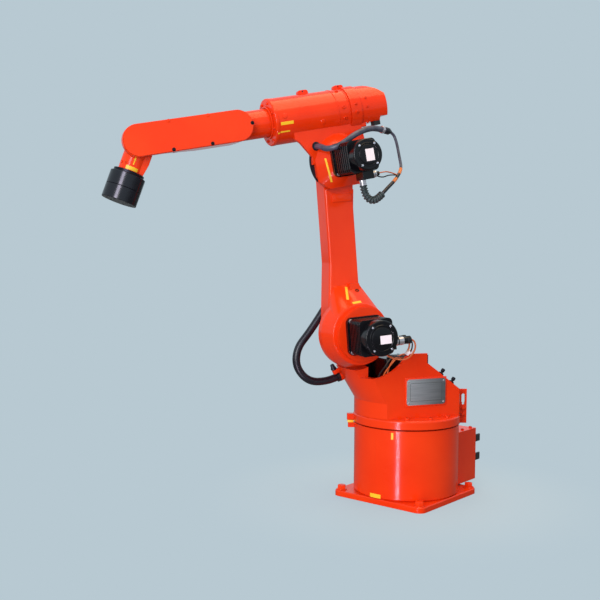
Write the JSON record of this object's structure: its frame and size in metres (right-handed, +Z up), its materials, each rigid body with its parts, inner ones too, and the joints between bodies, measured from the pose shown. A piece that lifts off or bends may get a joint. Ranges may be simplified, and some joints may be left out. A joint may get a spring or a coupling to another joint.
{
  "type": "industrial robot arm",
  "caption": "Six-axis articulated factory robot arm on a square floor plate, with a leaning lower arm, a barrel elbow, a forked forearm and a round tool mount.",
  "frame": {"origin": "centre of the base plate's underside, on the first axis", "axes": "+X forward, away from the connector box; +Y left; +Z up. At rest the arm is turned 28 degrees to the right of +X."},
  "size_m": [1.3066, 0.7472, 1.4746],
  "materials": {
    "painted_orange": "glossy orange-red paint on iron and aluminium castings",
    "painted_black": "satin black motor paint",
    "bright_steel": "brushed",
    "dark_steel": "dark satin",
    "rubber": "satin"
  },
  "bodies": {
    "base": {"base_plate": "painted_orange", "base_column": "painted_orange", "connector_box": "painted_orange", "connector_upper": "painted_black", "connector_lower": "painted_black", "zero_mark_lug_lower": "painted_orange"},
    "turret": {"turret_flange": "painted_orange", "turret_casting": "painted_orange", "shoulder_bearing_cap": "painted_orange", "turn_motor": "painted_black", "nameplate": "bright_steel", "rear_bracket": "painted_orange", "zero_mark_lug": "painted_orange", "hose_clamp": "painted_black", "loop_hose": "rubber"},
    "lower_arm": {"lower_arm": "painted_orange", "shoulder_motor_flange": "painted_black", "shoulder_motor_body": "painted_black", "shoulder_motor_cap": "painted_black", "shoulder_motor_plugs": "bright_steel", "arm_hose_gland": "painted_black"},
    "elbow": {"elbow_casting": "painted_orange", "elbow_barrel": "painted_orange", "barrel_front_ring": "painted_orange", "barrel_rear_flange": "painted_orange", "rear_cover": "painted_orange", "cover_bracket": "painted_black", "lifting_lugs": "painted_orange", "elbow_motor_flange": "painted_black", "elbow_motor_body": "painted_black", "elbow_motor_cap": "painted_black", "elbow_motor_plugs": "painted_black", "conduit": "rubber", "conduit_clamp": "painted_black", "cable_boot": "rubber", "elbow_cable": "rubber"},
    "forearm": {"forearm_body": "painted_orange", "forearm_cover_left": "painted_orange", "forearm_cover_right": "painted_orange"},
    "wrist": {"wrist_housing": "painted_orange"},
    "tool": {"tool_flange": "bright_steel", "tool_disc_upper": "dark_steel", "tool_disc_lower": "dark_steel"}
  },
  "joints": [
    {"name": "base_turn", "type": "hinge", "parent": "base", "child": "turret", "pos_m": [0, 0, 0], "axis": [0, 0, 1], "range_deg": [-142, 198]},
    {"name": "shoulder", "type": "hinge", "parent": "turret", "child": "lower_arm", "pos_m": [0.21985, -0.1169, 0.6085], "axis": [0.4695, 0.8829, 0], "range_deg": [-65, 80], "deforming": ["loop_hose"]},
    {"name": "elbow", "type": "hinge", "parent": "lower_arm", "child": "elbow", "pos_m": [0.26695, -0.14194, 1.20612], "axis": [-0.4695, -0.8829, 0], "range_deg": [-70, 100]},
    {"name": "forearm_roll", "type": "hinge", "parent": "elbow", "child": "forearm", "pos_m": [0.29542, -0.15708, 1.36896], "axis": [0.8661, -0.4605, -0.1942], "range_deg": [-180, 180]},
    {"name": "wrist_bend", "type": "hinge", "parent": "forearm", "child": "wrist", "pos_m": [0.87053, -0.46287, 1.23999], "axis": [-0.4695, -0.8829, 0], "range_deg": [-59, 179]},
    {"name": "tool_turn", "type": "hinge", "parent": "wrist", "child": "tool", "pos_m": [0.87053, -0.46287, 1.23999], "axis": [0.2991, -0.159, -0.9409], "range_deg": [-360, 360]}
  ]
}
